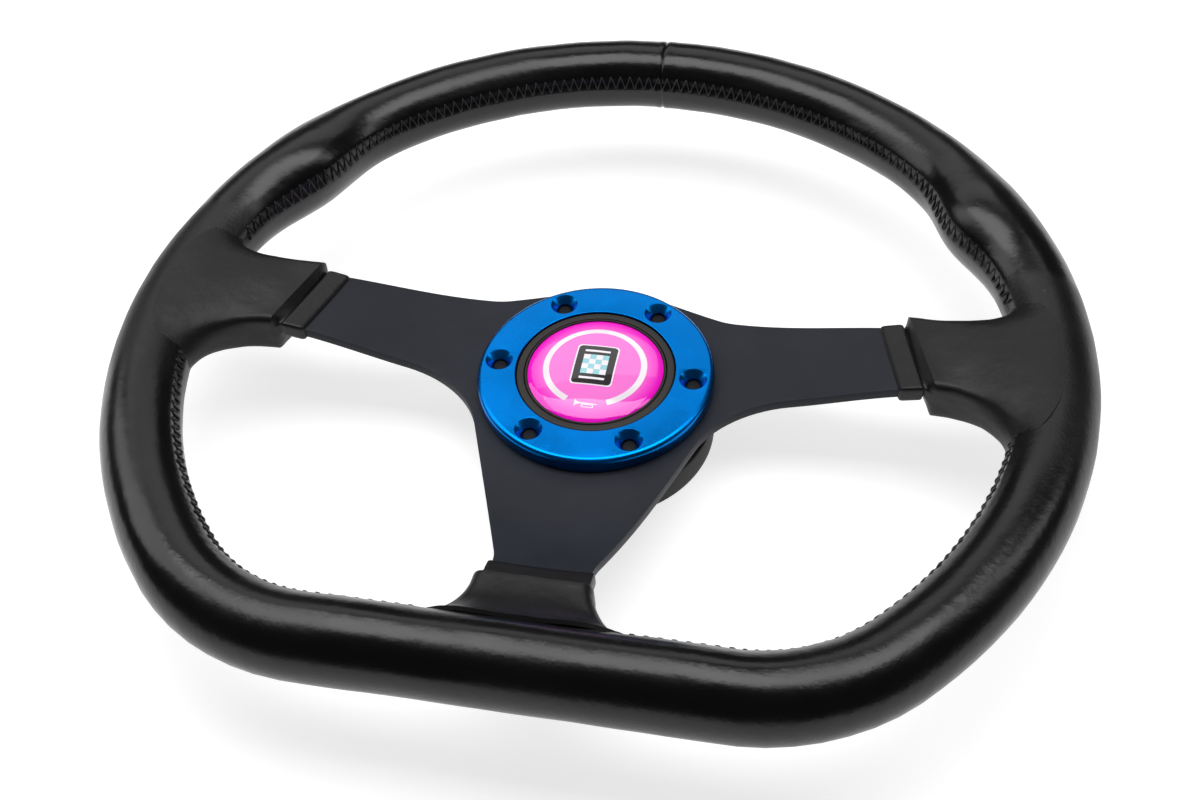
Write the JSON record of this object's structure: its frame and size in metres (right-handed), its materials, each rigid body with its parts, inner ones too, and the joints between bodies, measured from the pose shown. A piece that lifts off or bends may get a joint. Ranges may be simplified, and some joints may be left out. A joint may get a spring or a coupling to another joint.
{
  "type": "quick release steering wheel",
  "caption": "Flat-bottomed leather steering wheel with a dished three-spoke plate, trim ring, horn push and a ball-lock quick release hub.",
  "frame": {"origin": "under the middle of the wheel's outline, in the plane of the quick release hub's rear face; the steering axis stands 15.25 mm behind it, at y = -0.01525", "axes": "+Z along the steering axis towards the driver, +Y towards the top of the wheel, +X to the driver's right"},
  "size_m": [0.3582, 0.33, 0.0618],
  "materials": {
    "rim_leather": "smooth, polished by use",
    "spoke_leather": "fine grain, semi-matt",
    "foam": "moulded foam",
    "rim_frame": "bare rod",
    "spoke_plate": "satin blue-black anodising",
    "blue_anodised": "bright anodised, turned",
    "black_anodised": "satin anodised, turned",
    "screw_steel": "black oxide",
    "spring_steel": "drawn wire and strip",
    "ball_steel": "polished",
    "black_plastic": "moulded, satin",
    "pink_plastic": "clear-domed, glossy",
    "contact_brass": "stamped",
    "black_rubber": "matt"
  },
  "bodies": {
    "wheel": {"spoke_plate": "spoke_plate", "rim_core": "rim_frame", "rim_foam": "foam", "rim_leather": "rim_leather", "cover_left": "spoke_leather", "cover_right": "spoke_leather", "cover_bottom": "spoke_leather", "strap_left": "spoke_leather", "strap_right": "spoke_leather", "strap_bottom": "spoke_leather", "trim_ring": "blue_anodised", "hub_screw_1": "screw_steel", "hub_screw_2": "screw_steel", "hub_screw_3": "screw_steel", "hub_screw_4": "screw_steel", "hub_screw_5": "screw_steel", "hub_screw_6": "screw_steel", "hub_body": "black_anodised", "collar_spring": "spring_steel", "spring_seat": "spring_steel", "stop_ring": "spring_steel", "wire_grommet": "black_rubber", "horn_housing": "black_plastic", "horn_grip_ring": "black_rubber", "contact_base": "black_plastic", "rivet_live": "contact_brass", "rivet_ground": "contact_brass", "fixed_contact": "contact_brass", "horn_spring": "spring_steel"},
    "collar": {"release_collar": "black_anodised"},
    "ball_1": {"lock_ball_1": "ball_steel"},
    "ball_2": {"lock_ball_2": "ball_steel"},
    "ball_3": {"lock_ball_3": "ball_steel"},
    "ball_4": {"lock_ball_4": "ball_steel"},
    "ball_5": {"lock_ball_5": "ball_steel"},
    "ball_6": {"lock_ball_6": "ball_steel"},
    "horn_push": {"horn_cap": "black_plastic", "horn_emblem": "pink_plastic", "moving_contact": "contact_brass", "contact_screw": "screw_steel"}
  },
  "joints": [
    {"name": "collar_slide", "type": "slide", "parent": "wheel", "child": "collar", "axis": [0, 0, 1], "range_m": [0, 0.005], "stiffness_N_per_m": 1500, "springref_m": -0.006, "deforming": ["collar_spring"]},
    {"name": "horn_press", "type": "slide", "parent": "wheel", "child": "horn_push", "axis": [0, 0, -1], "range_m": [0, 0.0025], "stiffness_N_per_m": 2000, "springref_m": -0.003, "deforming": ["horn_spring"]},
    {"name": "ball_1_slide", "type": "slide", "parent": "wheel", "child": "ball_1", "axis": [1, 0, 0], "range_m": [0, 0.0014]},
    {"name": "ball_2_slide", "type": "slide", "parent": "wheel", "child": "ball_2", "axis": [0.5, 0.866, 0], "range_m": [0, 0.0014]},
    {"name": "ball_3_slide", "type": "slide", "parent": "wheel", "child": "ball_3", "axis": [-0.5, 0.866, 0], "range_m": [0, 0.0014]},
    {"name": "ball_4_slide", "type": "slide", "parent": "wheel", "child": "ball_4", "axis": [-1, 0, 0], "range_m": [0, 0.0014]},
    {"name": "ball_5_slide", "type": "slide", "parent": "wheel", "child": "ball_5", "axis": [-0.5, -0.866, 0], "range_m": [0, 0.0014]},
    {"name": "ball_6_slide", "type": "slide", "parent": "wheel", "child": "ball_6", "axis": [0.5, -0.866, 0], "range_m": [0, 0.0014]}
  ],
  "couplings": [
    {"joint": "ball_1_slide", "follows": "collar_slide", "ratio": 0.28},
    {"joint": "ball_2_slide", "follows": "collar_slide", "ratio": 0.28},
    {"joint": "ball_3_slide", "follows": "collar_slide", "ratio": 0.28},
    {"joint": "ball_4_slide", "follows": "collar_slide", "ratio": 0.28},
    {"joint": "ball_5_slide", "follows": "collar_slide", "ratio": 0.28},
    {"joint": "ball_6_slide", "follows": "collar_slide", "ratio": 0.28}
  ]
}
